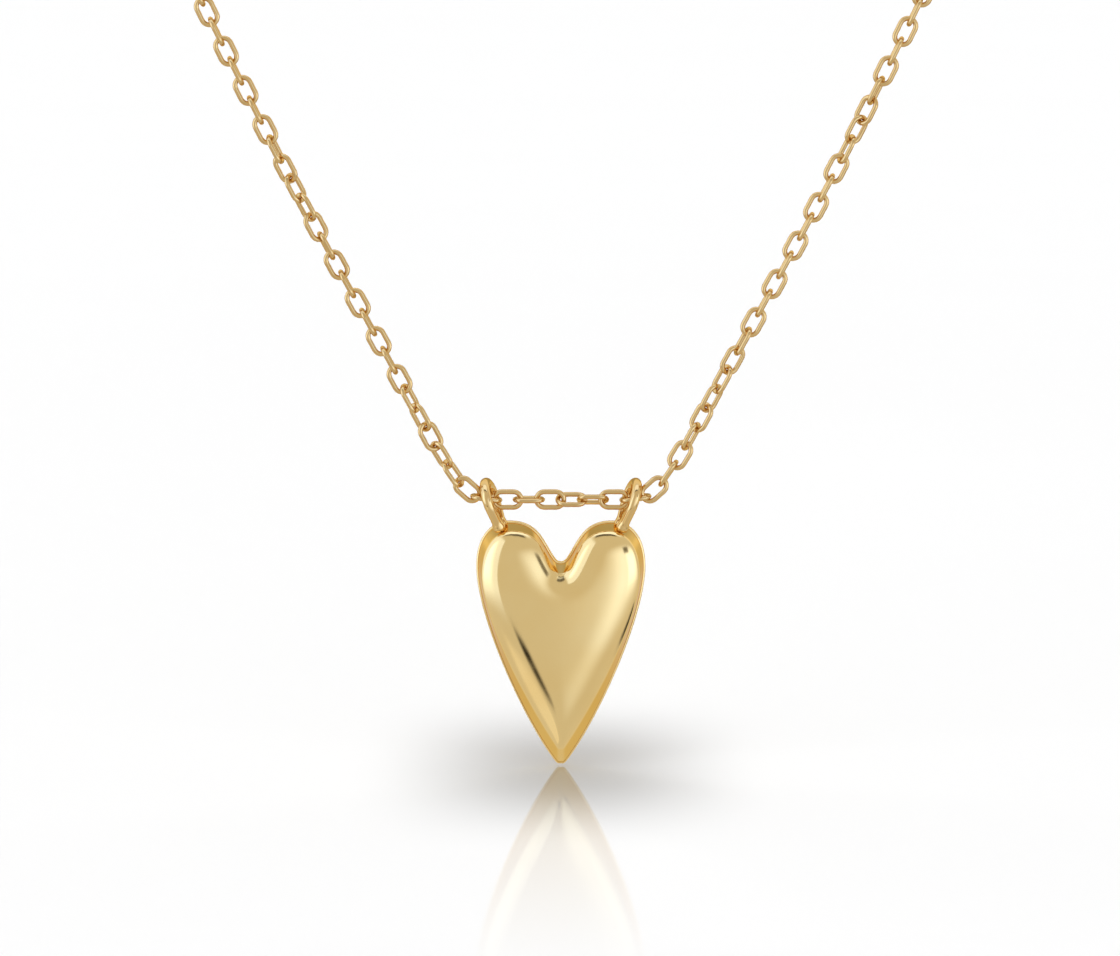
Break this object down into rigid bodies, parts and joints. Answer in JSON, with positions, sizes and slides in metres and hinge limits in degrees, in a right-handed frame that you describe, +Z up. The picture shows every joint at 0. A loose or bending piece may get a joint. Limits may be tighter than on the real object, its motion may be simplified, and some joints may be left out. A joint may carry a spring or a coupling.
{
  "type": "pendant necklace",
  "caption": "Fine cable-chain necklace with a puffed pointed-heart pendant hung from two wire loops, and a spring-ring clasp at the nape.",
  "frame": {"origin": "middle of the neck opening, level with the chain at the sides of the neck", "axes": "+Z up as worn, -Y towards the front with the heart's face, +X to the wearer's left"},
  "size_m": [0.1092, 0.1012, 0.125],
  "materials": {
    "gold": "polished gold plate"
  },
  "bodies": {
    "neck_chain": {"left_neck_chain_1": "gold", "left_neck_chain_2": "gold", "left_neck_chain_3": "gold", "left_neck_chain_4": "gold", "left_neck_chain_5": "gold", "left_neck_chain_6": "gold", "right_neck_chain_1": "gold", "right_neck_chain_2": "gold", "right_neck_chain_3": "gold", "right_neck_chain_4": "gold", "right_neck_chain_5": "gold", "right_neck_chain_6": "gold"},
    "front_tier_1": {"left_front_chain_1": "gold", "right_front_chain_1": "gold"},
    "front_tier_2": {"left_front_chain_2": "gold", "right_front_chain_2": "gold"},
    "front_tier_3": {"left_front_chain_3": "gold", "right_front_chain_3": "gold"},
    "front_tier_4": {"left_front_chain_4": "gold", "right_front_chain_4": "gold"},
    "front_tier_5": {"left_front_chain_5": "gold", "right_front_chain_5": "gold"},
    "front_tier_6": {"left_front_chain_6": "gold", "right_front_chain_6": "gold"},
    "bridge": {"bridge_link_1": "gold", "bridge_link_2": "gold", "bridge_link_3": "gold", "bridge_link_4": "gold", "bridge_link_5": "gold", "bridge_link_6": "gold", "bridge_link_7": "gold", "bridge_link_8": "gold"},
    "pendant": {"heart_front": "gold", "heart_back": "gold", "left_bail": "gold", "right_bail": "gold"},
    "clasp": {"clasp_ring": "gold", "clasp_spring": "gold"},
    "clasp_bolt": {"clasp_bolt": "gold"},
    "jump_ring": {"jump_ring": "gold"},
    "end_ring": {"end_ring": "gold"}
  },
  "joints": [
    {"name": "front_tier_1_swing", "type": "hinge", "parent": "neck_chain", "child": "front_tier_1", "pos_m": [0, -0.049, -0.04028], "axis": [1, 0, 0], "range_deg": [-25, 25]},
    {"name": "front_tier_2_swing", "type": "hinge", "parent": "front_tier_1", "child": "front_tier_2", "pos_m": [0, -0.049, -0.04971], "axis": [1, 0, 0], "range_deg": [-25, 25]},
    {"name": "front_tier_3_swing", "type": "hinge", "parent": "front_tier_2", "child": "front_tier_3", "pos_m": [0, -0.049, -0.05913], "axis": [1, 0, 0], "range_deg": [-25, 25]},
    {"name": "front_tier_4_swing", "type": "hinge", "parent": "front_tier_3", "child": "front_tier_4", "pos_m": [0, -0.049, -0.06855], "axis": [1, 0, 0], "range_deg": [-25, 25]},
    {"name": "front_tier_5_swing", "type": "hinge", "parent": "front_tier_4", "child": "front_tier_5", "pos_m": [0, -0.049, -0.07786], "axis": [1, 0, 0], "range_deg": [-25, 25]},
    {"name": "front_tier_6_swing", "type": "hinge", "parent": "front_tier_5", "child": "front_tier_6", "pos_m": [0, -0.049, -0.08703], "axis": [1, 0, 0], "range_deg": [-25, 25]},
    {"name": "bridge_swing", "type": "hinge", "parent": "front_tier_6", "child": "bridge", "pos_m": [0, -0.049, -0.09582], "axis": [1, 0, 0], "range_deg": [-32, 32]},
    {"name": "pendant_swing", "type": "hinge", "parent": "bridge", "child": "pendant", "pos_m": [0, -0.049, -0.096], "axis": [1, 0, 0], "range_deg": [-100, 100]},
    {"name": "clasp_roll", "type": "hinge", "parent": "neck_chain", "child": "clasp", "pos_m": [0, 0.049, 0.01], "axis": [1, 0, 0], "range_deg": [-60, 60]},
    {"name": "jump_ring_roll", "type": "hinge", "parent": "neck_chain", "child": "jump_ring", "pos_m": [0, 0.049, 0.01], "axis": [1, 0, 0], "range_deg": [-35, 35]},
    {"name": "end_ring_roll", "type": "hinge", "parent": "neck_chain", "child": "end_ring", "pos_m": [0, 0.049, 0.01], "axis": [1, 0, 0], "range_deg": [-35, 35]},
    {"name": "clasp_bolt_slide", "type": "hinge", "parent": "clasp", "child": "clasp_bolt", "pos_m": [0.00085, 0.049, 0.01], "axis": [0, 1, 0], "range_deg": [0, 62], "stiffness_Nm_per_rad": 0.000002, "springref_deg": -34.38, "deforming": ["clasp_spring"]}
  ],
  "couplings": [
    {"joint": "jump_ring_roll", "follows": "clasp_roll", "ratio": 0.5},
    {"joint": "end_ring_roll", "follows": "clasp_roll", "ratio": 0.5}
  ]
}
